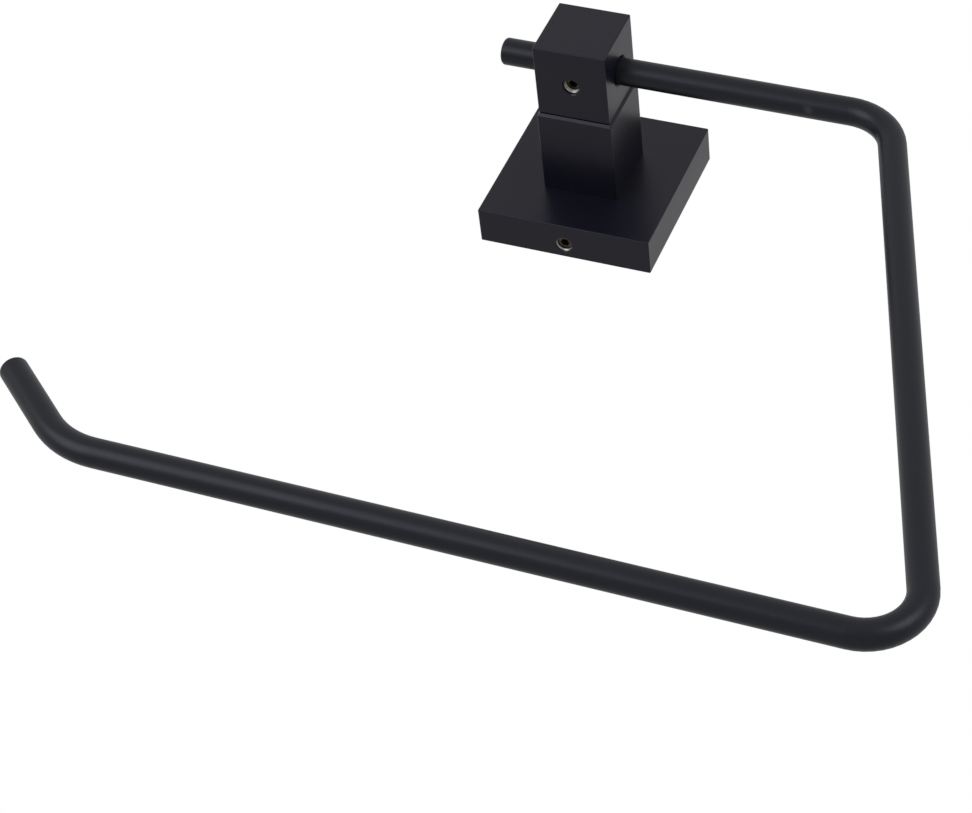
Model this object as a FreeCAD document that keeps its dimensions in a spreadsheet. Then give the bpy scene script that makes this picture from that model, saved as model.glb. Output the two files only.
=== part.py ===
"""Wall-mounted towel ring: one bent round rod clamped in a square post on a square flange.

Frame: millimetres, +Z up. The wall is the plane Y = 0 and the post stands out along -Y.
The origin is the centre of the flange's wall face. The rod lies in a plane parallel to the wall.
"""
import FreeCAD, Part
import math
import os
import Sketcher

ORIGIN_POINT = (-1, 1)

document = FreeCAD.newDocument("TowelRing")

# Driving dimensions in millimetres and degrees
DIMENSIONS = {
    "flange_side": 55.0,
    "flange_depth": 12.0,
    "flange_rim": 4.0,
    "flange_face": 4.0,
    "neck_side": 23.5,
    "neck_length": 29.0,
    "neck_chamfer": 0.7,
    "seam_gap": 0.5,
    "seam_inset": 0.6,
    "head_side": 22.5,
    "head_length": 24.0,
    "head_axis": 11.5,
    "head_chamfer": 0.2,
    "edge_round": 0.4,
    "hole_break": 0.3,
    "rod_diameter": 8.2,
    "rod_clearance": 0.6,
    "rod_mouth_break": 0.5,
    "rod_end_round": 1.0,
    "stub_reach": 25.5,
    "top_reach": 93.5,
    "top_turn": 71.0,
    "top_bend": 16.5,
    "side_length": 197.0,
    "low_turn": 109.0,
    "low_bend": 14.0,
    "low_length": 235.0,
    "tip_turn": 39.5,
    "tip_bend": 27.0,
    "tip_length": 35.0,
    "spigot_side": 14.0,
    "spigot_height": 2.0,
    "spigot_clearance": 0.2,
    "end_gap": 0.3,
    "screw_diameter": 5.0,
    "thread_clearance": 0.2,
    "screw_clearance": 0.5,
    "screw_head_diameter": 8.5,
    "screw_head_height": 5.0,
    "screw_key": 4.0,
    "screw_key_depth": 2.5,
    "tapped_web": 0.7,
    "washer_diameter": 9.2,
    "washer_thickness": 1.2,
    "grub_diameter": 5.0,
    "grub_point": 2.4,
    "grub_key": 2.5,
    "grub_key_depth": 2.5,
    "grub_gap": 0.1,
    "head_grub_length": 5.0,
    "cover_grub_length": 6.0,
    "cover_grub_recess": 1.2,
    "cover_grub_height": 4.6,
    "bracket_thickness": 6.5,
    "bracket_clearance": 0.3,
    "bracket_bore": 14.0,
    "wall_hole_diameter": 4.5,
    "wall_hole_sink": 9.0,
    "wall_hole_spacing": 30.0,
}

sheet = document.addObject("Spreadsheet::Sheet", "Sizes")
for row, (alias, value) in enumerate(DIMENSIONS.items(), start=1):
    sheet.set(f"A{row}", alias)
    sheet.set(f"B{row}", str(value))
    sheet.setAlias(f"B{row}", alias)
document.recompute()

# Distances from the wall, as expressions of the driving dimensions
SEAM = "(Sizes.flange_depth + Sizes.neck_length)"
NECK_SHOULDER = f"({SEAM} - Sizes.seam_gap)"
AXIS = f"({SEAM} + Sizes.head_axis)"
COVER_INSIDE = "(Sizes.flange_depth - Sizes.flange_face)"
BORE = "(Sizes.rod_diameter + Sizes.rod_clearance)"
TAPPED_HOLE = "(Sizes.screw_diameter + Sizes.thread_clearance)"
GRUB_HOLE = "(Sizes.grub_diameter + Sizes.thread_clearance)"
CLEAR_HOLE = "(Sizes.screw_diameter + Sizes.screw_clearance)"
SPIGOT_POCKET = "(Sizes.spigot_side + Sizes.spigot_clearance)"
POCKET_DEPTH = "(Sizes.spigot_height + Sizes.end_gap)"


def size(alias):
    """Return the present value of one driving dimension."""
    return float(sheet.get(alias))


def add_body(name):
    """Return a new empty body whose label is the name of its node."""
    body = document.addObject("PartDesign::Body", name)
    body.Label = name
    body.Placement = FreeCAD.Placement()
    return body


def add_sketch(body, name, role, across="0", up="0", out="0"):
    """Return a sketch on an origin plane of the body, moved by three expressions."""
    plane = [item for item in body.Origin.OriginFeatures if item.Role == role][0]
    sketch = body.newObject("Sketcher::SketchObject", name)
    sketch.AttachmentSupport = [(plane, "")]
    sketch.MapMode = "FlatFace"
    sketch.setExpression("AttachmentOffset.Base.x", across)
    sketch.setExpression("AttachmentOffset.Base.y", up)
    sketch.setExpression("AttachmentOffset.Base.z", out)
    return sketch


def bind(sketch, constraint, name, expression):
    """Add a named constraint to the sketch and drive it by an expression."""
    index = sketch.addConstraint(constraint)
    sketch.renameConstraint(index, name)
    sketch.setExpression(f"Constraints.{name}", expression)


def draw_circle(sketch, diameter):
    """Draw a circle about the sketch's origin."""
    start = Part.Circle(FreeCAD.Vector(0, 0, 0), FreeCAD.Vector(0, 0, 1), 1.0)
    circle = sketch.addGeometry(start, False)
    sketch.addConstraint(Sketcher.Constraint("Coincident", circle, 3, *ORIGIN_POINT))
    bind(sketch, Sketcher.Constraint("Diameter", circle, 2.0), "diameter", diameter)


def draw_rectangle(sketch, width, height):
    """Draw a rectangle centred on the sketch's origin."""
    corners = [(-1, -1), (1, -1), (1, 1), (-1, 1)]
    points = [FreeCAD.Vector(across, up, 0) for across, up in corners]
    sides = []
    for index, point in enumerate(points):
        line = Part.LineSegment(point, points[(index + 1) % 4])
        sides.append(sketch.addGeometry(line, False))
    for index, side in enumerate(sides):
        following = sides[(index + 1) % 4]
        sketch.addConstraint(Sketcher.Constraint("Coincident", side, 2, following, 1))
        direction = "Horizontal" if index % 2 == 0 else "Vertical"
        sketch.addConstraint(Sketcher.Constraint(direction, side))
    sketch.addConstraint(Sketcher.Constraint("Symmetric", sides[0], 1, sides[1], 2, *ORIGIN_POINT))
    bind(sketch, Sketcher.Constraint("DistanceX", sides[0], 1, sides[0], 2, 2.0), "width", width)
    bind(sketch, Sketcher.Constraint("DistanceY", sides[1], 1, sides[1], 2, 2.0), "height", height)


def draw_hexagon(sketch, across_flats):
    """Draw a hexagon about the sketch's origin, given its width across flats."""
    guide = Part.Circle(FreeCAD.Vector(0, 0, 0), FreeCAD.Vector(0, 0, 1), 1.0)
    circle = sketch.addGeometry(guide, True)
    sketch.addConstraint(Sketcher.Constraint("Coincident", circle, 3, *ORIGIN_POINT))
    turns = [math.radians(60 * step) for step in range(6)]
    points = [FreeCAD.Vector(math.cos(turn), math.sin(turn), 0) for turn in turns]
    sides = []
    for index, point in enumerate(points):
        line = Part.LineSegment(point, points[(index + 1) % 6])
        sides.append(sketch.addGeometry(line, False))
    for index, side in enumerate(sides):
        following = sides[(index + 1) % 6]
        sketch.addConstraint(Sketcher.Constraint("Coincident", side, 2, following, 1))
        sketch.addConstraint(Sketcher.Constraint("PointOnObject", side, 1, circle))
        if index > 0:
            sketch.addConstraint(Sketcher.Constraint("Equal", sides[0], side))
    sketch.addConstraint(Sketcher.Constraint("PointOnObject", sides[0], 1, -1))
    corner_circle = f"{across_flats} / cos(30)"
    bind(sketch, Sketcher.Constraint("Diameter", circle, 2.0), "diameter", corner_circle)


def add_pad(body, sketch, length, reverse=False, symmetric=False):
    """Extrude the sketch along its normal and return the feature."""
    pad = body.newObject("PartDesign::Pad", f"{sketch.Name}_pad")
    pad.Profile = sketch
    pad.Reversed = reverse
    if symmetric:
        pad.SideType = "Symmetric"
    pad.setExpression("Length", length)
    document.recompute()
    return pad


def add_pocket(body, sketch, length=None, reverse=False, symmetric=False):
    """Cut the sketch against its normal, through everything when no length is given."""
    before = body.Shape.Volume
    pocket = body.newObject("PartDesign::Pocket", f"{sketch.Name}_pocket")
    pocket.Profile = sketch
    pocket.Reversed = reverse
    if symmetric:
        pocket.SideType = "Symmetric"
    if length is None:
        pocket.Type = "ThroughAll"
    else:
        pocket.setExpression("Length", length)
    document.recompute()
    if not body.Shape.Volume < before:
        raise RuntimeError(f"{pocket.Name} cuts nothing")
    return pocket


def edge_names(shape, wanted):
    """Return the names of the shape's edges that pass a test."""
    edges = enumerate(shape.Edges, start=1)
    return [f"Edge{number}" for number, edge in edges if not edge.Degenerated and wanted(edge)]


def dress_edges(body, kind, wanted, amount):
    """Add a Fillet or Chamfer of the given expression to the edges that pass a test."""
    base = body.Tip
    names = edge_names(base.Shape, wanted)
    if not names:
        raise RuntimeError(f"no edge of {body.Name} for its {kind}")
    feature = body.newObject(f"PartDesign::{kind}", f"{body.Name}_{kind}")
    feature.Base = (base, names)
    feature.setExpression("Radius" if kind == "Fillet" else "Size", amount)
    document.recompute()
    if not feature.Shape.isValid():
        raise RuntimeError(f"{feature.Name} leaves a broken shape")
    return feature


def near(first, second):
    """Tell whether two lengths are the same for the purpose of finding an edge."""
    return abs(first - second) < 0.01


def lies_at(edge, axis, place):
    """Tell whether every end of the edge has the given coordinate along an axis."""
    return all(near(getattr(vertex, axis), place) for vertex in edge.Vertexes)


def is_circle(edge, diameter):
    """Tell whether the edge is a full circle of the given diameter."""
    return isinstance(edge.Curve, Part.Circle) and near(edge.Length, math.pi * diameter)


def is_corner_edge(edge, side):
    """Tell whether the edge runs out from the wall along a corner of a centred square."""
    half = side / 2
    ends = edge.Vertexes
    corner = all(near(abs(v.X), half) and near(abs(v.Z), half) for v in ends)
    return corner and not near(ends[0].Y, ends[-1].Y)


# Values of the distances from the wall, used only to find edges
flange_front = -size("flange_depth")
seam_place = flange_front - size("neck_length")
shoulder_place = seam_place + size("seam_gap")
head_front = seam_place - size("head_length")
axis_place = seam_place - size("head_axis")


def make_flange_cover():
    """Square cap that hides the wall bracket, with a socket for the neck's spigot."""
    body = add_body("flange_cover")
    outline = add_sketch(body, "cover_outline", "XZ_Plane")
    draw_rectangle(outline, "Sizes.flange_side", "Sizes.flange_side")
    add_pad(body, outline, "Sizes.flange_depth")
    side = size("flange_side")
    front = flange_front
    dress_edges(
        body,
        "Fillet",
        lambda edge: lies_at(edge, "Y", front) or is_corner_edge(edge, side),
        "Sizes.edge_round",
    )
    cavity = add_sketch(body, "cover_cavity", "XZ_Plane")
    inner = "Sizes.flange_side - 2 * Sizes.flange_rim"
    draw_rectangle(cavity, inner, inner)
    add_pocket(body, cavity, COVER_INSIDE, reverse=True)
    socket = add_sketch(body, "cover_socket", "XZ_Plane", out="Sizes.flange_depth")
    draw_rectangle(socket, SPIGOT_POCKET, SPIGOT_POCKET)
    add_pocket(body, socket, POCKET_DEPTH)
    hole = add_sketch(body, "cover_screw_hole", "XZ_Plane", out="Sizes.flange_depth")
    draw_circle(hole, CLEAR_HOLE)
    add_pocket(body, hole)
    grub = add_sketch(body, "cover_grub_hole", "XY_Plane", up="-Sizes.cover_grub_height")
    draw_circle(grub, GRUB_HOLE)
    add_pocket(body, grub)
    mouth = size("grub_diameter") + size("thread_clearance")
    dress_edges(
        body,
        "Chamfer",
        lambda edge: is_circle(edge, mouth) and lies_at(edge, "Z", -side / 2),
        "Sizes.hole_break",
    )
    return body


def make_neck_post():
    """Square neck with a stepped top, a spigot at each end and a bore for the long screw."""
    body = add_body("neck_post")
    outline = add_sketch(body, "neck_outline", "XZ_Plane", out="Sizes.flange_depth")
    draw_rectangle(outline, "Sizes.neck_side", "Sizes.neck_side")
    add_pad(body, outline, "Sizes.neck_length - Sizes.seam_gap")
    side = size("neck_side")
    dress_edges(
        body,
        "Chamfer",
        lambda edge: lies_at(edge, "Y", shoulder_place),
        "Sizes.neck_chamfer",
    )
    dress_edges(body, "Fillet", lambda edge: is_corner_edge(edge, side), "Sizes.edge_round")
    step = add_sketch(body, "neck_step", "XZ_Plane", out=NECK_SHOULDER)
    step_side = "Sizes.head_side - 2 * Sizes.seam_inset"
    draw_rectangle(step, step_side, step_side)
    add_pad(body, step, "Sizes.seam_gap")
    wall_spigot = add_sketch(body, "neck_wall_spigot", "XZ_Plane", out="Sizes.flange_depth")
    draw_rectangle(wall_spigot, "Sizes.spigot_side", "Sizes.spigot_side")
    add_pad(body, wall_spigot, "Sizes.spigot_height", reverse=True)
    head_spigot = add_sketch(body, "neck_head_spigot", "XZ_Plane", out=SEAM)
    draw_rectangle(head_spigot, "Sizes.spigot_side", "Sizes.spigot_side")
    add_pad(body, head_spigot, "Sizes.spigot_height")
    bore = add_sketch(body, "neck_bore", "XZ_Plane", out=f"{SEAM} + Sizes.spigot_height")
    draw_circle(bore, CLEAR_HOLE)
    add_pocket(body, bore)
    return body


def make_head_block():
    """Square block with the cross bore for the rod and two threaded holes."""
    body = add_body("head_block")
    outline = add_sketch(body, "head_outline", "XZ_Plane", out=SEAM)
    draw_rectangle(outline, "Sizes.head_side", "Sizes.head_side")
    add_pad(body, outline, "Sizes.head_length")
    side = size("head_side")
    dress_edges(body, "Chamfer", lambda edge: lies_at(edge, "Y", seam_place), "Sizes.head_chamfer")
    dress_edges(
        body,
        "Fillet",
        lambda edge: lies_at(edge, "Y", head_front) or is_corner_edge(edge, side),
        "Sizes.edge_round",
    )
    socket = add_sketch(body, "head_socket", "XZ_Plane", out=SEAM)
    draw_rectangle(socket, SPIGOT_POCKET, SPIGOT_POCKET)
    add_pocket(body, socket, POCKET_DEPTH, reverse=True)
    tapped = add_sketch(body, "head_tapped_hole", "XZ_Plane", out=SEAM)
    draw_circle(tapped, TAPPED_HOLE)
    add_pocket(body, tapped, f"Sizes.head_axis - {BORE} / 2 - Sizes.tapped_web", reverse=True)
    bore = add_sketch(body, "head_cross_bore", "YZ_Plane", across=f"-{AXIS}")
    draw_circle(bore, BORE)
    add_pocket(body, bore, symmetric=True)
    grub = add_sketch(body, "head_grub_hole", "XY_Plane", up=f"-{AXIS}")
    draw_circle(grub, GRUB_HOLE)
    add_pocket(body, grub)
    bore_mouth = size("rod_diameter") + size("rod_clearance")
    grub_mouth = size("grub_diameter") + size("thread_clearance")
    dress_edges(
        body,
        "Chamfer",
        lambda edge: is_circle(edge, bore_mouth) and near(abs(edge.Vertexes[0].X), side / 2),
        "Sizes.rod_mouth_break",
    )
    dress_edges(
        body,
        "Chamfer",
        lambda edge: is_circle(edge, grub_mouth) and lies_at(edge, "Z", -side / 2),
        "Sizes.hole_break",
    )
    return body


def draw_rod_path(sketch):
    """Draw the rod's centre line: four straight runs joined by three tangent bends."""
    runs = [
        ("top", "Sizes.stub_reach + Sizes.top_reach - {top}", size("stub_reach") + size("top_reach")),
        ("side", "Sizes.side_length - {top} - {low}", size("side_length")),
        ("low", "Sizes.low_length - {low} - {tip}", size("low_length")),
        ("tip", "Sizes.tip_length - {tip}", size("tip_length")),
    ]
    bends = ["top", "low", "tip"]
    setbacks = {name: f"Sizes.{name}_bend * tan(Sizes.{name}_turn / 2)" for name in bends}
    point = FreeCAD.Vector(-size("stub_reach"), 0, 0)
    heading = 0.0
    lines = []
    arcs = []
    taken = 0.0
    for index, (name, rule, corner_length) in enumerate(runs):
        bend = size(f"{bends[index]}_bend") if index < len(bends) else 0.0
        turn = math.radians(size(f"{bends[index]}_turn")) if index < len(bends) else 0.0
        setback = bend * math.tan(turn / 2)
        forward = FreeCAD.Vector(math.cos(heading), math.sin(heading), 0)
        end = point + forward * (corner_length - taken - setback)
        lines.append(sketch.addGeometry(Part.LineSegment(point, end), False))
        if index < len(bends):
            inward = FreeCAD.Vector(math.sin(heading), -math.cos(heading), 0)
            centre = end + inward * bend
            entry = heading + math.pi / 2
            circle = Part.Circle(centre, FreeCAD.Vector(0, 0, 1), bend)
            arcs.append(sketch.addGeometry(Part.ArcOfCircle(circle, entry - turn, entry), False))
            heading -= turn
            leave = FreeCAD.Vector(math.sin(heading), -math.cos(heading), 0)
            end = centre - leave * bend
        point = end
        taken = setback
    sketch.addConstraint(Sketcher.Constraint("Horizontal", lines[0]))
    sketch.addConstraint(Sketcher.Constraint("PointOnObject", lines[0], 1, -1))
    start = Sketcher.Constraint("DistanceX", lines[0], 1, *ORIGIN_POINT, size("stub_reach"))
    bind(sketch, start, "stub_reach", "Sizes.stub_reach")
    for index, name in enumerate(bends):
        sketch.addConstraint(Sketcher.Constraint("Tangent", lines[index], 2, arcs[index], 2))
        sketch.addConstraint(Sketcher.Constraint("Tangent", arcs[index], 1, lines[index + 1], 1))
        radius = Sketcher.Constraint("Radius", arcs[index], size(f"{name}_bend"))
        bind(sketch, radius, f"{name}_bend", f"Sizes.{name}_bend")
        span = Sketcher.Constraint("Angle", arcs[index], math.radians(size(f"{name}_turn")))
        bind(sketch, span, f"{name}_turn", f"Sizes.{name}_turn")
    for index, (name, rule, corner_length) in enumerate(runs):
        length = sketch.Geometry[lines[index]].length()
        distance = Sketcher.Constraint("Distance", lines[index], length)
        bind(sketch, distance, f"{name}_run", rule.format(**setbacks))
    return lines, arcs


def make_ring_rod():
    """One round rod, bent three times, open at its upturned tip."""
    body = add_body("ring_rod")
    path = add_sketch(body, "rod_path", "XZ_Plane", out=AXIS)
    lines, arcs = draw_rod_path(path)
    section = add_sketch(
        body,
        "rod_section",
        "YZ_Plane",
        across=f"-{AXIS}",
        out="-Sizes.stub_reach",
    )
    draw_circle(section, "Sizes.rod_diameter")
    document.recompute()
    pipe = body.newObject("PartDesign::AdditivePipe", "rod_sweep")
    pipe.Profile = section
    pipe.Spine = path
    document.recompute()
    rod_length = sum(path.Geometry[index].length() for index in lines + arcs)
    expected = rod_length * math.pi * size("rod_diameter") ** 2 / 4
    if abs(body.Shape.Volume - expected) > 0.005 * expected:
        raise RuntimeError("the rod's volume is not its section times its length")
    start = path.Geometry[lines[0]].StartPoint
    tip = path.Geometry[lines[-1]].EndPoint
    ends = [FreeCAD.Vector(place.x, axis_place, place.y) for place in (start, tip)]
    diameter = size("rod_diameter")

    def is_end(edge):
        round_edge = is_circle(edge, diameter)
        return round_edge and min(edge.Curve.Center.distanceToPoint(end) for end in ends) < 0.1

    dress_edges(body, "Fillet", is_end, "Sizes.rod_end_round")
    return body


def make_wall_bracket():
    """Plate screwed to the wall, with a slanted lower edge for the cover's grub screw."""
    body = add_body("wall_bracket")
    profile = add_sketch(body, "bracket_profile", "YZ_Plane")
    thickness = size("bracket_thickness")
    high = size("flange_side") / 2 - size("flange_rim")
    low = -high + size("cover_grub_length")
    corners = [(0, low), (-thickness, low - thickness), (-thickness, high), (0, high)]
    points = [FreeCAD.Vector(across, up, 0) for across, up in corners]
    sides = []
    for index, point in enumerate(points):
        sides.append(profile.addGeometry(Part.LineSegment(point, points[(index + 1) % 4]), False))
    for index, side in enumerate(sides):
        following = sides[(index + 1) % 4]
        profile.addConstraint(Sketcher.Constraint("Coincident", side, 2, following, 1))
    profile.addConstraint(Sketcher.Constraint("Vertical", sides[1]))
    profile.addConstraint(Sketcher.Constraint("Horizontal", sides[2]))
    profile.addConstraint(Sketcher.Constraint("PointOnObject", sides[3], 1, -2))
    profile.addConstraint(Sketcher.Constraint("PointOnObject", sides[3], 2, -2))
    across = Sketcher.Constraint("DistanceX", sides[2], 1, sides[2], 2, thickness)
    bind(profile, across, "thickness", "Sizes.bracket_thickness")
    slant = Sketcher.Constraint("DistanceY", sides[0], 2, sides[0], 1, thickness)
    bind(profile, slant, "slant", "Sizes.bracket_thickness")
    upper = Sketcher.Constraint("DistanceY", *ORIGIN_POINT, sides[3], 1, high)
    bind(
        profile,
        upper,
        "upper_edge",
        "Sizes.flange_side / 2 - Sizes.flange_rim - Sizes.bracket_clearance",
    )
    lower = Sketcher.Constraint("DistanceY", sides[3], 2, *ORIGIN_POINT, -low)
    bind(
        profile,
        lower,
        "lower_edge",
        "Sizes.flange_side / 2 - Sizes.cover_grub_recess - Sizes.cover_grub_length"
        " - Sizes.cover_grub_height - Sizes.grub_point / 2 - Sizes.grub_gap * sqrt(2)",
    )
    width = "Sizes.flange_side - 2 * Sizes.flange_rim - 2 * Sizes.bracket_clearance"
    add_pad(body, profile, width, symmetric=True)
    front = "Sizes.bracket_thickness"
    opening = add_sketch(body, "bracket_opening", "XZ_Plane", out=front)
    draw_circle(opening, "Sizes.bracket_bore")
    add_pocket(body, opening)
    for name, sign in (("left", "-"), ("right", "")):
        place = f"{sign}Sizes.wall_hole_spacing / 2"
        hole = add_sketch(body, f"bracket_{name}_hole", "XZ_Plane", across=place, out=front)
        draw_circle(hole, "Sizes.wall_hole_diameter")
        add_pocket(body, hole)
    hole_diameter = size("wall_hole_diameter")
    dress_edges(
        body,
        "Chamfer",
        lambda edge: is_circle(edge, hole_diameter) and lies_at(edge, "Y", -thickness),
        "(Sizes.wall_hole_sink - Sizes.wall_hole_diameter) / 2",
    )
    return body


def make_post_washer():
    """Ring under the head of the long screw."""
    body = add_body("post_washer")
    outline = add_sketch(body, "washer_outline", "XZ_Plane", out=COVER_INSIDE)
    draw_circle(outline, "Sizes.washer_diameter")
    add_pad(body, outline, "Sizes.washer_thickness", reverse=True)
    hole = add_sketch(body, "washer_hole", "XZ_Plane", out=COVER_INSIDE)
    draw_circle(hole, CLEAR_HOLE)
    add_pocket(body, hole, reverse=False)
    return body


def make_post_screw():
    """Socket-head screw from behind the cover, through the neck into the head block."""
    body = add_body("post_screw")
    under_head = f"({COVER_INSIDE} - Sizes.washer_thickness)"
    head = add_sketch(body, "screw_head", "XZ_Plane", out=under_head)
    draw_circle(head, "Sizes.screw_head_diameter")
    add_pad(body, head, "Sizes.screw_head_height", reverse=True)
    shank = add_sketch(body, "screw_shank", "XZ_Plane", out=under_head)
    draw_circle(shank, "Sizes.screw_diameter")
    hole_end = f"({AXIS} - {BORE} / 2 - Sizes.tapped_web)"
    add_pad(body, shank, f"{hole_end} - Sizes.end_gap - {under_head}")
    key = add_sketch(body, "screw_key", "XZ_Plane", out=f"{under_head} - Sizes.screw_head_height")
    draw_hexagon(key, "Sizes.screw_key")
    add_pocket(body, key, "Sizes.screw_key_depth", reverse=True)
    return body


def make_grub_screw(name, up, point_place, length):
    """Headless screw pointing up, with a coned point and a hexagon socket below."""
    body = add_body(name)
    outline = add_sketch(body, f"{name}_outline", "XY_Plane", up=up, out=point_place)
    draw_circle(outline, "Sizes.grub_diameter")
    add_pad(body, outline, length, reverse=True)
    top = body.Shape.BoundBox.ZMax
    dress_edges(
        body,
        "Chamfer",
        lambda edge: lies_at(edge, "Z", top) and isinstance(edge.Curve, Part.Circle),
        "(Sizes.grub_diameter - Sizes.grub_point) / 2",
    )
    key = add_sketch(body, f"{name}_key", "XY_Plane", up=up, out=f"{point_place} - {length}")
    draw_hexagon(key, "Sizes.grub_key")
    add_pocket(body, key, "Sizes.grub_key_depth", reverse=True)
    return body


def make_all():
    """Build every sub-part in the order in which the product is put together."""
    head_point = "(-Sizes.rod_diameter / 2 - Sizes.grub_gap)"
    cover_point = (
        "(-Sizes.flange_side / 2 + Sizes.cover_grub_recess + Sizes.cover_grub_length)"
    )
    return [
        make_wall_bracket(),
        make_flange_cover(),
        make_neck_post(),
        make_head_block(),
        make_post_washer(),
        make_post_screw(),
        make_ring_rod(),
        make_grub_screw("head_grub_screw", f"-{AXIS}", head_point, "Sizes.head_grub_length"),
        make_grub_screw(
            "flange_grub_screw",
            "-Sizes.cover_grub_height",
            cover_point,
            "Sizes.cover_grub_length",
        ),
    ]


def check_and_export(bodies):
    """Stop on any failed object or broken shape, then write one STEP file for each body."""
    document.recompute()
    for item in document.Objects:
        if "Invalid" in item.State or "Error" in item.State:
            raise RuntimeError(f"{item.Name} failed: {item.State}")
    os.makedirs("parts", exist_ok=True)
    for body in bodies:
        shape = body.Shape
        if shape.isNull() or not shape.isValid() or len(shape.Solids) != 1:
            raise RuntimeError(f"{body.Label} is not one valid solid")
    for body in bodies:
        body.Shape.exportStep(f"parts/{body.Label}.step")
        box = body.Shape.BoundBox
        spans = [(box.XMin, box.XMax), (box.YMin, box.YMax), (box.ZMin, box.ZMax)]
        text = ", ".join(f"{low:.2f} to {high:.2f}" for low, high in spans)
        print(f"{body.Label}: {body.Shape.Volume:.1f} mm3, {text}")


check_and_export(make_all())
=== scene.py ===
"""Looks of a wall-mounted towel ring: black powder coat, bare-metal screws, soft studio light.

Units are metres in the row's frame: the wall is the plane Y = 0, the room lies towards -Y and +Z is up.
"""
import logging
from dataclasses import dataclass
from enum import Enum
from math import radians

import bmesh
import bpy
from mathutils import Matrix, Vector


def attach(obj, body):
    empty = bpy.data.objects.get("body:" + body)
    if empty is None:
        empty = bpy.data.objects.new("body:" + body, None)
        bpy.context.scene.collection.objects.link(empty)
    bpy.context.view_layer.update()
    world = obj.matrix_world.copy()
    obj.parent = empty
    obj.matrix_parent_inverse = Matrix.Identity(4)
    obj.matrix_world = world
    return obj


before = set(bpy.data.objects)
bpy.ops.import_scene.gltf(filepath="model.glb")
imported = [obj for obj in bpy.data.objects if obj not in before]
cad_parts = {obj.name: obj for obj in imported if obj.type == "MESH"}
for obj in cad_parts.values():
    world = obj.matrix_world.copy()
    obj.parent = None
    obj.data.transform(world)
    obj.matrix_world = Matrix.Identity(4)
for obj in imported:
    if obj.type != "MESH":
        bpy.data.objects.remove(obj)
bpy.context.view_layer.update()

LOG = logging.getLogger("towel_ring")
MM = 0.001
BODY = "root"
IMAGE_WIDTH = 972
SENSOR_WIDTH_MM = 36.0
WHITE = (1.0, 1.0, 1.0, 1.0)

Colour = tuple[float, float, float]
Place = tuple[float, float, float]
Turn = tuple[float, float, float]
Span = tuple[float, float]
Socket = bpy.types.NodeSocket


class Slot(Enum):
    """Material slots of the record, one for each kind of surface."""

    COAT = "black_coat"
    ROD = "black_rod"
    STEEL = "bare_steel"
    ZINC = "zinc_plate"


class Grain(Enum):
    """How finely a pattern is broken up, in octaves of noise."""

    PLAIN = 2.0
    MIXED = 3.0
    FINE = 4.0


def opaque(colour: Colour) -> tuple[float, float, float, float]:
    """Return the colour with full opacity."""
    return (*colour, 1.0)


def new_material(name: str) -> tuple[bpy.types.Material, bpy.types.Node]:
    """Make a node material.

    Args:
        name: name of the material.

    Returns:
        The material and its Principled shader.
    """
    material = bpy.data.materials.new(name)
    material.use_nodes = True
    return material, material.node_tree.nodes["Principled BSDF"]


def add_ray_strength(tree: bpy.types.NodeTree, seen: float, mirrored: float, lighting: float) -> Socket:
    """Add a light strength that depends on which rays meet the surface.

    Args:
        tree: nodes of the material or world.
        seen: strength for the camera.
        mirrored: strength for gloss and for what is seen through glass.
        lighting: strength for all other rays.

    Returns:
        The socket that gives the strength.
    """
    rays = tree.nodes.new("ShaderNodeLightPath")
    gloss = tree.nodes.new("ShaderNodeMath")
    gloss.operation = "MAXIMUM"
    tree.links.new(rays.outputs["Is Glossy Ray"], gloss.inputs[0])
    tree.links.new(rays.outputs["Is Transmission Ray"], gloss.inputs[1])
    dimmer = tree.nodes.new("ShaderNodeMapRange")
    dimmer.inputs["To Min"].default_value = lighting
    dimmer.inputs["To Max"].default_value = mirrored
    tree.links.new(gloss.outputs["Value"], dimmer.inputs["Value"])
    strength = tree.nodes.new("ShaderNodeMapRange")
    strength.inputs["To Max"].default_value = seen
    tree.links.new(rays.outputs["Is Camera Ray"], strength.inputs["Value"])
    tree.links.new(dimmer.outputs["Result"], strength.inputs["To Min"])
    return strength.outputs["Result"]


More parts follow.
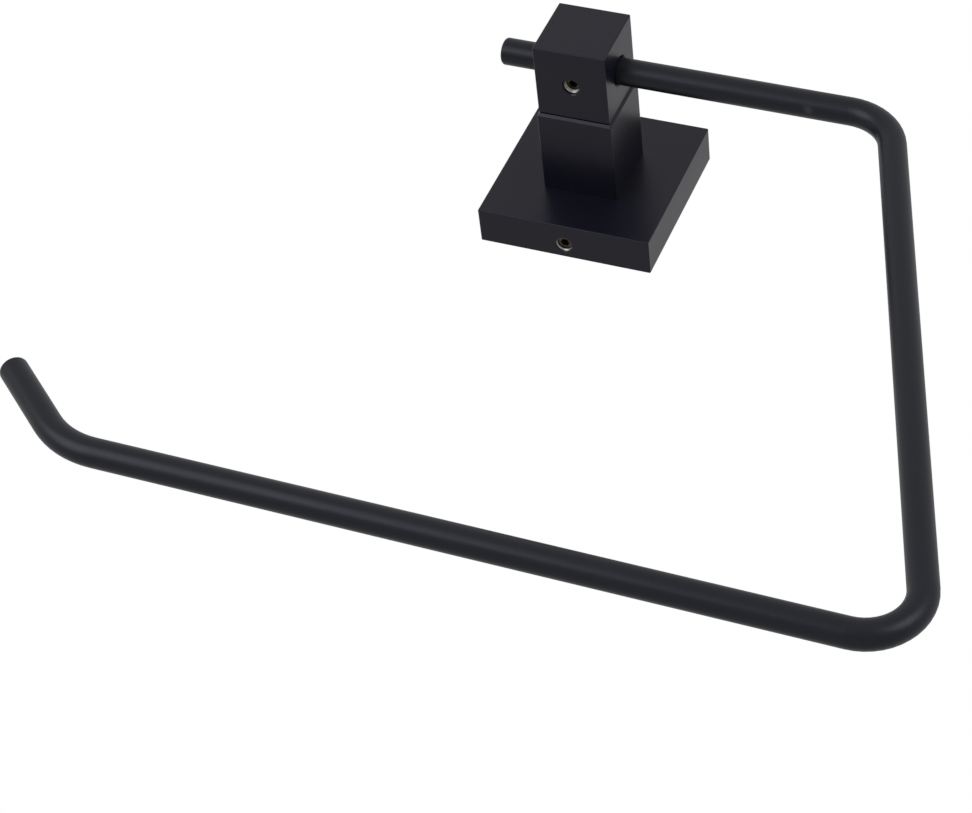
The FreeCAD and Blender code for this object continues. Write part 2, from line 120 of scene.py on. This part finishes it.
class Surface:
    """Material in the making: a Principled shader with patterns on Object coordinates.

    Attributes:
        material: the material.
        shader: its Principled shader.
        nodes: its nodes.
        links: its links.
        coords: socket with the Object coordinates.
    """

    def __init__(self, name: str) -> None:
        """Start the material.

        Args:
            name: name of the material.
        """
        self.material, self.shader = new_material(name)
        self.nodes = self.material.node_tree.nodes
        self.links = self.material.node_tree.links
        self.coords = self.nodes.new("ShaderNodeTexCoord").outputs["Object"]

    def add_noise(self, scale: float, grain: Grain) -> Socket:
        """Add a noise pattern.

        Args:
            scale: cells in each metre.
            grain: how finely the pattern is broken up.

        Returns:
            The socket with the pattern's value, from 0 to 1.
        """
        noise = self.nodes.new("ShaderNodeTexNoise")
        noise.inputs["Scale"].default_value = scale
        noise.inputs["Detail"].default_value = grain.value
        self.links.new(self.coords, noise.inputs["Vector"])
        return noise.outputs["Fac"]

    def mix_colours(self, under: Colour | Socket, over: Colour, share: Socket) -> Socket:
        """Lay one colour over another.

        Args:
            under: the colour below, or the socket that gives it.
            over: the colour above.
            share: socket with the share of the colour above.

        Returns:
            The socket with the mixed colour.
        """
        mixer = self.nodes.new("ShaderNodeMix")
        mixer.data_type = "RGBA"
        if isinstance(under, Socket):
            self.links.new(under, mixer.inputs["A"])
        else:
            mixer.inputs["A"].default_value = opaque(under)
        mixer.inputs["B"].default_value = opaque(over)
        self.links.new(share, mixer.inputs["Factor"])
        return mixer.outputs["Result"]

    def map_range(self, value: Socket, source: Span, target: Span) -> bpy.types.Node:
        """Add a node that carries one range of values over to another.

        Args:
            value: socket with the value.
            source: the value's lowest and highest figure.
            target: what these two become.

        Returns:
            The Map Range node.
        """
        mapping = self.nodes.new("ShaderNodeMapRange")
        mapping.inputs["From Min"].default_value, mapping.inputs["From Max"].default_value = source
        mapping.inputs["To Min"].default_value, mapping.inputs["To Max"].default_value = target
        self.links.new(value, mapping.inputs["Value"])
        return mapping

    def set_roughness(self, pattern: Socket, source: Span, mean: float, spread: float) -> None:
        """Let the roughness follow a pattern.

        Args:
            pattern: socket with the pattern's value.
            source: the pattern's values at which the roughness is lowest and highest.
            mean: mean roughness.
            spread: how far the roughness goes up and down from there.
        """
        mapping = self.map_range(pattern, source, (mean - spread, mean + spread))
        self.links.new(mapping.outputs["Result"], self.shader.inputs["Roughness"])

    def set_relief(self, pattern: Socket, height: float) -> None:
        """Let a fine relief follow a pattern.

        Args:
            pattern: socket with the pattern's value.
            height: height of the relief in metres.
        """
        bump = self.nodes.new("ShaderNodeBump")
        bump.inputs["Strength"].default_value = 1.0
        bump.inputs["Distance"].default_value = height
        self.links.new(pattern, bump.inputs["Height"])
        self.links.new(bump.outputs["Normal"], self.shader.inputs["Normal"])


@dataclass(frozen=True)
class Scuff:
    """Small worn patch in a coat, with an uneven outline.

    Attributes:
        place: its centre, on the surface.
        radius: how far it reaches.
        colour: linear colour of the worn coat.
        unevenness: how far the outline strays, as a share of the radius.
        grain_size: size of the outline's bumps in metres.
    """

    place: Place
    radius: float
    colour: Colour
    unevenness: float = 0.7
    grain_size: float = 1.1 * MM

    def wear(self, surface: Surface, coat: Socket) -> Socket:
        """Lay the patch over the coat's colour.

        Args:
            surface: the coat's material in the making.
            coat: socket with the coat's colour.

        Returns:
            The socket with the colour of coat and patch together.
        """
        stray = self.unevenness * self.radius
        away = surface.nodes.new("ShaderNodeVectorMath")
        away.operation = "DISTANCE"
        away.inputs[1].default_value = self.place
        surface.links.new(surface.coords, away.inputs[0])
        ragged = surface.nodes.new("ShaderNodeMath")
        ragged.operation = "MULTIPLY_ADD"
        ragged.inputs[1].default_value = stray
        surface.links.new(surface.add_noise(1.0 / self.grain_size, Grain.PLAIN), ragged.inputs[0])
        surface.links.new(away.outputs["Value"], ragged.inputs[2])
        reach = (stray / 2, self.radius + stray / 2)
        fade = surface.map_range(ragged.outputs["Value"], reach, (1.0, 0.0))
        fade.interpolation_type = "SMOOTHSTEP"
        return surface.mix_colours(coat, self.colour, fade.outputs["Result"])


@dataclass(frozen=True)
class PowderCoat:
    """Satin powder coat: a dark colour with a fine orange-peel surface.

    Attributes:
        name: name of the material.
        slot: the record's slot that the finish belongs to.
        colour: linear base colour.
        fleck: linear colour of the slightly lighter patches.
        roughness: mean roughness of the surface.
        gloss: strength of the mirror-like part of the light.
        gloss_tint: colour of that part.
        sheen_spread: how far the roughness varies from place to place.
        sheen_range: values of the pattern between which it varies.
        fleck_scale: lighter patches in each metre.
        sheen_scale: patches of other roughness in each metre.
        peel_size: size of the orange-peel cells in metres.
        peel_height: depth of the orange peel in metres.
        scuff: small worn patch, if there is one.
    """

    name: str
    slot: Slot
    colour: Colour
    fleck: Colour
    roughness: float
    gloss: float
    gloss_tint: Colour
    sheen_spread: float = 0.03
    sheen_range: Span = (0.3, 0.7)
    fleck_scale: float = 60.0
    sheen_scale: float = 35.0
    peel_size: float = 0.6 * MM
    peel_height: float = 0.016 * MM
    scuff: Scuff | None = None

    def build(self) -> bpy.types.Material:
        """Make the coat's material.

        Returns:
            The node material.
        """
        surface = Surface(self.name)
        flecks = surface.add_noise(self.fleck_scale, Grain.FINE)
        colour = surface.mix_colours(self.colour, self.fleck, flecks)
        if self.scuff:
            colour = self.scuff.wear(surface, colour)
        surface.links.new(colour, surface.shader.inputs["Base Color"])
        sheen = surface.add_noise(self.sheen_scale, Grain.MIXED)
        surface.set_roughness(sheen, self.sheen_range, self.roughness, self.sheen_spread)
        surface.set_relief(surface.add_noise(1.0 / self.peel_size, Grain.PLAIN), self.peel_height)
        surface.shader.inputs["Specular IOR Level"].default_value = self.gloss
        surface.shader.inputs["Specular Tint"].default_value = opaque(self.gloss_tint)
        return surface.material


@dataclass(frozen=True)
class BareMetal:
    """Uncoated metal with fine machining marks.

    Attributes:
        name: name of the material.
        slot: the record's slot that the finish belongs to.
        colour: linear base colour.
        roughness: mean roughness of the surface.
        mark_size: spacing of the machining marks in metres.
        mark_height: depth of the machining marks in metres.
        stain_scale: darker patches in each metre.
        stain_shade: colour of these patches, as a share of the base colour.
        stain_range: values of the pattern between which colour and roughness vary.
        roughness_spread: how far the roughness varies from place to place.
    """

    name: str
    slot: Slot
    colour: Colour
    roughness: float
    mark_size: float
    mark_height: float
    stain_scale: float = 400.0
    stain_shade: float = 0.7
    stain_range: Span = (0.0, 1.0)
    roughness_spread: float = 0.08

    def build(self) -> bpy.types.Material:
        """Make the metal's material.

        Returns:
            The node material.
        """
        surface = Surface(self.name)
        surface.shader.inputs["Metallic"].default_value = 1.0
        stain = surface.add_noise(self.stain_scale, Grain.MIXED)
        red, green, blue = (self.stain_shade * part for part in self.colour)
        colour = surface.mix_colours(self.colour, (red, green, blue), stain)
        surface.links.new(colour, surface.shader.inputs["Base Color"])
        surface.set_roughness(stain, self.stain_range, self.roughness, self.roughness_spread)
        surface.set_relief(surface.add_noise(1.0 / self.mark_size, Grain.PLAIN), self.mark_height)
        return surface.material


@dataclass(frozen=True)
class Softbox:
    """Square soft light.

    Attributes:
        name: name of the light.
        place: where it stands.
        aim: the point that it faces.
        side: side of the square.
        watts: power of the light.
    """

    name: str
    place: Place
    aim: Place
    side: float
    watts: float

    def build(self, colour: Colour) -> None:
        """Add the light.

        Args:
            colour: colour of the light.
        """
        data = bpy.data.lights.new(self.name, "AREA")
        data.shape = "SQUARE"
        data.size = self.side
        data.energy = self.watts
        data.color = colour
        lamp = bpy.data.objects.new(self.name, data)
        facing = (Vector(self.aim) - Vector(self.place)).to_track_quat("-Z", "Y")
        lamp.matrix_world = Matrix.Translation(self.place) @ facing.to_matrix().to_4x4()
        bpy.context.scene.collection.objects.link(lamp)


@dataclass(frozen=True)
class Studio:
    """Camera, floor, white surroundings and soft lights.

    Attributes:
        camera_place: where the camera stands.
        camera_turn: rotation vector in radians, from the frame's axes to the camera's right, down and ahead.
        camera_reach: nearest and farthest distance that the camera sees.
        focal_px: focal length in pixels of the image's width.
        floor_height: height of the floor below the ring.
        floor_radius: radius of the round floor.
        floor_corners: corners of its outline.
        floor_grey: linear grey of the floor.
        floor_roughness: roughness of the floor.
        floor_seen: light added to the floor for the camera, so that it looks pale.
        floor_mirrored: light added to the floor as gloss and glass show it.
        ambient: strength of the light from the surroundings.
        mirrored: strength of the surroundings as gloss and glass show them.
        daylight: colour of the soft lights.
        softboxes: the soft lights.
    """

    camera_place: Place = (0.2714118, -0.5779643, -0.6079461)
    camera_turn: Turn = (0.79595, 0.40440, 0.06080)
    camera_reach: Span = (0.01, 50.0)
    focal_px: float = 2843.8
    floor_height: float = -1.95
    floor_radius: float = 10.2
    floor_corners: int = 96
    floor_grey: float = 0.70
    floor_roughness: float = 0.9
    floor_seen: float = 0.45
    floor_mirrored: float = 0.07
    ambient: float = 0.6
    mirrored: float = 0.66
    daylight: Colour = (0.90, 0.93, 1.0)
    softboxes: tuple[Softbox, ...] = (
        Softbox("front_softbox", place=(-0.4, -2.2, 1.2), aim=(0.0, 0.0, -0.08), side=2.0, watts=0.4),
        Softbox("left_softbox", place=(-0.84, -0.95, -0.72), aim=(-0.05, -0.05, -0.18), side=1.0, watts=7.8),
        Softbox("right_softbox", place=(0.92, -0.96, -0.13), aim=(0.15, -0.05, -0.18), side=0.7, watts=4.4),
    )

    def add_camera(self) -> None:
        """Create the camera at the photograph's viewing angle."""
        vector = Vector(self.camera_turn)
        right, down, ahead = Matrix.Rotation(vector.length, 3, vector.normalized())
        axes = Matrix((right, -down, -ahead)).transposed()
        data = bpy.data.cameras.new("camera")
        data.sensor_width = SENSOR_WIDTH_MM
        data.lens = self.focal_px * SENSOR_WIDTH_MM / IMAGE_WIDTH
        data.clip_start, data.clip_end = self.camera_reach
        camera = bpy.data.objects.new("camera", data)
        camera.matrix_world = Matrix.Translation(self.camera_place) @ axes.to_4x4()
        bpy.context.scene.collection.objects.link(camera)
        bpy.context.scene.camera = camera

    def add_floor(self) -> None:
        """Add a plain pale floor that keeps the object's shadow."""
        bpy.ops.mesh.primitive_circle_add(
            vertices=self.floor_corners,
            radius=self.floor_radius,
            fill_type="NGON",
            location=(0.0, 0.0, self.floor_height),
        )
        floor = bpy.context.active_object
        floor.name = "floor"
        bpy.ops.object.transform_apply(location=True, rotation=False, scale=False)
        material, shader = new_material("pale_floor")
        shader.inputs["Base Color"].default_value = opaque((self.floor_grey,) * 3)
        shader.inputs["Roughness"].default_value = self.floor_roughness
        shader.inputs["Emission Color"].default_value = WHITE
        tree = material.node_tree
        strength = add_ray_strength(tree, self.floor_seen, self.floor_mirrored, lighting=0.0)
        tree.links.new(strength, shader.inputs["Emission Strength"])
        floor.data.materials.append(material)

    def light_world(self) -> None:
        """Give plain white surroundings: white to the camera, a little dimmer in gloss and as a light."""
        world = bpy.data.worlds.new("surroundings")
        bpy.context.scene.world = world
        world.use_nodes = True
        tree = world.node_tree
        background = tree.nodes["Background"]
        background.inputs["Color"].default_value = WHITE
        strength = add_ray_strength(tree, seen=1.0, mirrored=self.mirrored, lighting=self.ambient)
        tree.links.new(strength, background.inputs["Strength"])

    def build(self) -> None:
        """Set up the whole studio."""
        bpy.context.scene.view_settings.view_transform = "Standard"
        self.add_camera()
        self.add_floor()
        self.light_world()
        for softbox in self.softboxes:
            softbox.build(self.daylight)
        LOG.info("built the studio with %d softboxes", len(self.softboxes))


def deselect_all() -> None:
    """Leave nothing selected and no object active."""
    for thing in bpy.context.selected_objects:
        thing.select_set(False)
    bpy.context.view_layer.objects.active = None


def dress_nodes(finish: PowderCoat | BareMetal, *names: str) -> None:
    """Give one or more CAD nodes the same finish.

    Args:
        finish: finish of the nodes.
        names: names of the nodes.
    """
    material = finish.build()
    for name in names:
        for material_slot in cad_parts[name].material_slots:
            material_slot.material = material
        LOG.info("dressed %s in %s, slot %s", name, finish.name, finish.slot.value)


@dataclass
class WallFlange:
    """Square flange cover and the wall bracket behind it.

    Attributes:
        coat: finish of the cover.
        plate: finish of the bracket.
    """

    coat: PowderCoat
    plate: BareMetal

    def build(self) -> None:
        """Dress the flange's nodes."""
        dress_nodes(self.coat, "flange_cover")
        dress_nodes(self.plate, "wall_bracket")


@dataclass
class SquarePost:
    """Square neck and head block.

    Attributes:
        coat: finish of both.
    """

    coat: PowderCoat

    def build(self) -> None:
        """Dress the post's nodes."""
        dress_nodes(self.coat, "neck_post", "head_block")


@dataclass
class BentRod:
    """Round rod bent into the open ring.

    Attributes:
        coat: finish of the rod.
    """

    coat: PowderCoat

    def build(self) -> None:
        """Dress the rod's node."""
        dress_nodes(self.coat, "ring_rod")


@dataclass
class Fasteners:
    """Plated screw and washer inside the post, and the two dark grub screws seen from below.

    Attributes:
        metal: finish of the long screw and its washer.
        oxide: finish of the grub screws.
    """

    metal: BareMetal
    oxide: BareMetal

    def build(self) -> None:
        """Dress the fasteners' nodes."""
        dress_nodes(self.metal, "post_screw", "post_washer")
        dress_nodes(self.oxide, "head_grub_screw", "flange_grub_screw")


@dataclass
class TappedMouth:
    """Uncoated thread between the mouth of a grub-screw hole and the screw in it.

    Attributes:
        name: name of the piece.
        metal: finish of the thread; not used.
        material: the same finish, already built.
        out: distance of the hole's axis from the wall.
        mouth: height at which the thread starts.
        end: height just below the screw, where it ends.
        root: radius of the thread's root, within the hole.
        crest: radius of the thread's crest.
        pitch: spacing of the threads.
        wall: least thickness of metal behind a groove.
        sides: corners of each ring.
        shortest: a step lower than this isn't worth a ring.
        weld: corners nearer than this become one.
        smooth_angle: angle under which two faces are shaded as one.
    """

    name: str
    metal: BareMetal
    material: bpy.types.Material
    out: float
    mouth: float
    end: float
    root: float = 2.58 * MM
    crest: float = 2.25 * MM
    pitch: float = 0.8 * MM
    wall: float = 0.05 * MM
    sides: int = 48
    shortest: float = 0.01 * MM
    weld: float = 0.001 * MM
    smooth_angle: float = radians(25)

    def ring_up(self, rise: float, radius: float, present: float) -> None:
        """Extrude the selected ring of edges upwards and set its radius.

        Args:
            rise: how far the new ring lies above the selected one.
            radius: radius of the new ring.
            present: radius of the selected ring.
        """
        bpy.ops.mesh.extrude_region_move(TRANSFORM_OT_translate={"value": (0.0, 0.0, rise)})
        factor = radius / present
        bpy.ops.transform.resize(
            value=(factor, factor, 1.0), center_override=(0.0, -self.out, self.mouth)
        )

    def turn_profile(self) -> None:
        """Carry the selected ring up the thread's crests and grooves and back down its outside."""
        groove = self.root - self.wall
        height = self.mouth
        radius = self.root
        while height < self.end - self.shortest:
            rise = min(self.pitch / 2, self.end - height)
            wanted = groove if radius == self.crest else self.crest
            self.ring_up(rise, wanted, radius)
            radius = wanted
            height += rise
        self.ring_up(0.0, self.root, radius)
        self.ring_up(self.mouth - height, self.root, self.root)

    def order_faces(self, piece: bpy.types.Object) -> None:
        """Give the faces one fixed order, because an extrusion's order varies from run to run.

        Args:
            piece: the thread, in edit mode.
        """
        grid = bmesh.from_edit_mesh(piece.data)
        grid.verts.index_update()
        count = len(grid.verts)

        def rank(face: bmesh.types.BMFace) -> int:
            """Return one number made of all the face's corners, lowest first."""
            number = 0
            for index in sorted(corner.index for corner in face.verts):
                number = number * count + index
            return number

        grid.faces.sort(key=rank)
        grid.faces.index_update()
        bmesh.update_edit_mesh(piece.data)

    def build(self) -> None:
        """Turn the thread from one ring of edges and set it in its hole."""
        deselect_all()
        bpy.ops.mesh.primitive_circle_add(
            vertices=self.sides, radius=self.root, location=(0.0, -self.out, self.mouth)
        )
        piece = bpy.context.active_object
        piece.name = self.name
        bpy.ops.object.mode_set(mode="EDIT")
        bpy.ops.mesh.select_all(action="SELECT")
        self.turn_profile()
        bpy.ops.mesh.select_all(action="SELECT")
        bpy.ops.mesh.remove_doubles(threshold=self.weld)
        bpy.ops.mesh.normals_make_consistent(inside=False)
        self.order_faces(piece)
        bpy.ops.object.mode_set(mode="OBJECT")
        bpy.ops.object.transform_apply(location=True, rotation=True, scale=True)
        bpy.ops.object.shade_smooth_by_angle(angle=self.smooth_angle)
        piece.data.materials.append(self.material)
        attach(piece, BODY)
        LOG.info("built %s with %d faces", self.name, len(piece.data.polygons))


def main() -> None:
    """Build the studio and every sub-assembly in order."""
    logging.basicConfig(level=logging.INFO, format="%(message)s")
    deselect_all()
    Studio().build()
    post_coat = PowderCoat(
        name="black_powder_coat",
        slot=Slot.COAT,
        colour=(0.0028, 0.0036, 0.0085),
        fleck=(0.0036, 0.0045, 0.0102),
        roughness=0.33,
        gloss=0.34,
        gloss_tint=(1.0, 0.90, 1.0),
    )
    rod_coat = PowderCoat(
        name="black_rod_coat",
        slot=Slot.ROD,
        colour=(0.0026, 0.0046, 0.0080),
        fleck=(0.0038, 0.0060, 0.0098),
        roughness=0.38,
        gloss=0.35,
        gloss_tint=(0.94, 0.93, 1.0),
        scuff=Scuff(place=(70.3 * MM, -53.6 * MM, -3.9 * MM), radius=2.1 * MM, colour=(0.034, 0.029, 0.033)),
    )
    zinc = BareMetal(
        name="zinc_plated_steel",
        slot=Slot.ZINC,
        colour=(0.50, 0.50, 0.48),
        roughness=0.35,
        mark_size=0.8 * MM,
        mark_height=0.01 * MM,
    )
    steel = BareMetal(
        name="plated_screw_steel",
        slot=Slot.STEEL,
        colour=(0.60, 0.57, 0.53),
        roughness=0.28,
        mark_size=0.5 * MM,
        mark_height=0.01 * MM,
    )
    oxide = BareMetal(
        name="dark_screw_steel",
        slot=Slot.STEEL,
        colour=(0.14, 0.10, 0.075),
        roughness=0.42,
        mark_size=0.4 * MM,
        mark_height=0.01 * MM,
    )
    thread = BareMetal(
        name="bare_thread",
        slot=Slot.ZINC,
        colour=(0.43, 0.42, 0.40),
        roughness=0.40,
        mark_size=0.3 * MM,
        mark_height=0.005 * MM,
    )
    WallFlange(post_coat, zinc).build()
    SquarePost(post_coat).build()
    BentRod(rod_coat).build()
    Fasteners(steel, oxide).build()
    cut = thread.build()
    TappedMouth("head_thread", thread, cut, out=52.5 * MM, mouth=-10.25 * MM, end=-9.25 * MM).build()
    TappedMouth("flange_thread", thread, cut, out=4.6 * MM, mouth=-27.10 * MM, end=-26.35 * MM).build()


if __name__ == "__main__":
    main()
